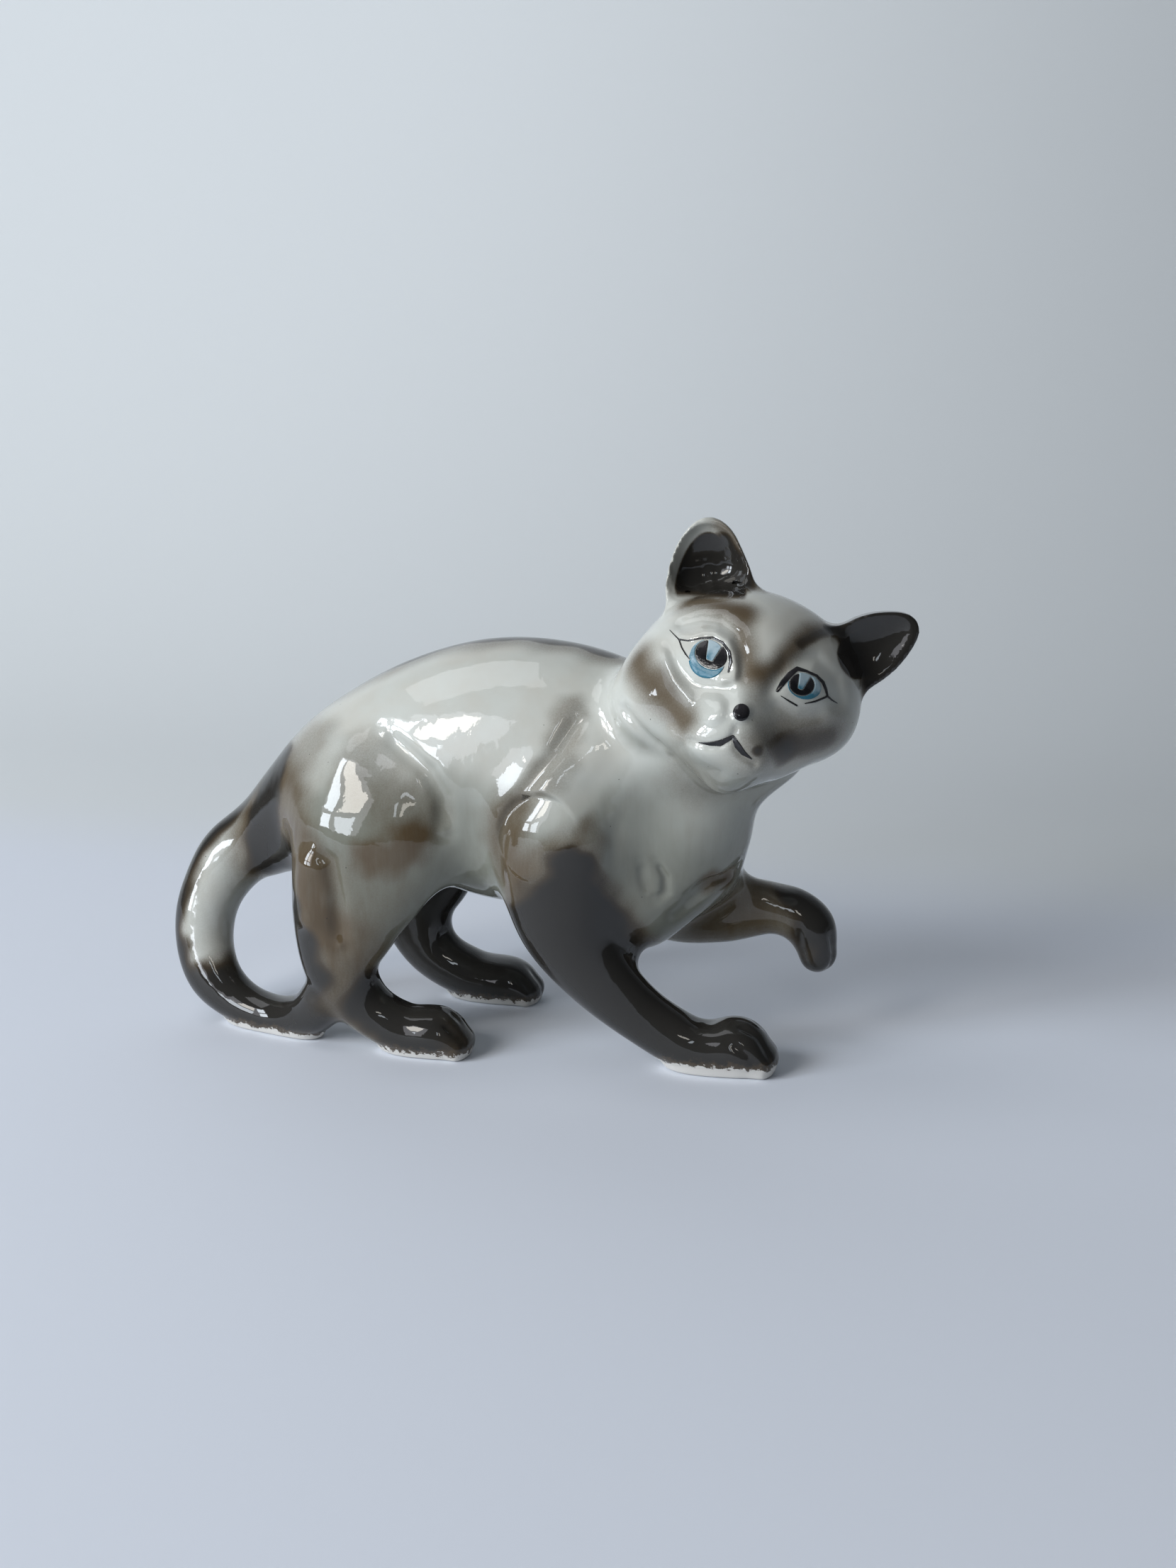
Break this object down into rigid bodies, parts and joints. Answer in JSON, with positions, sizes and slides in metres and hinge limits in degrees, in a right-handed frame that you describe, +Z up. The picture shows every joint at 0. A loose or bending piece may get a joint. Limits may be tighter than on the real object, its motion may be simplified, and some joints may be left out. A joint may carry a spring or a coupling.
{
  "type": "ceramic cat figurine",
  "caption": "Glossy ceramic cat figurine, walking with one forepaw raised, head turned to its right side, tail curled round to the hind foot.",
  "frame": {"origin": "bottom centre of the bounding box, on the surface that the feet stand on", "axes": "+X the way the body faces, +Y the animal's left side, +Z up; the face looks towards -Y"},
  "size_m": [0.1338, 0.051, 0.0943],
  "materials": {
    "pale_glaze": "gloss, grey-white with brown airbrushing",
    "dark_glaze": "gloss, brown to black, bare clay under the feet",
    "ear_glaze": "gloss, dark inside with a pale rim",
    "black_enamel": "gloss",
    "blue_enamel": "gloss"
  },
  "bodies": {
    "root": {"torso": "pale_glaze", "head": "pale_glaze", "right_ear": "ear_glaze", "left_ear": "ear_glaze", "right_foreleg": "dark_glaze", "left_foreleg": "dark_glaze", "right_hind_leg": "dark_glaze", "left_hind_leg": "dark_glaze", "tail": "dark_glaze", "nose_enamel": "black_enamel", "mouth_enamel": "black_enamel", "right_iris_enamel": "blue_enamel", "left_iris_enamel": "blue_enamel", "right_pupil_enamel": "black_enamel", "left_pupil_enamel": "black_enamel", "right_eye_lines": "black_enamel", "left_eye_lines": "black_enamel"}
  },
  "joints": []
}
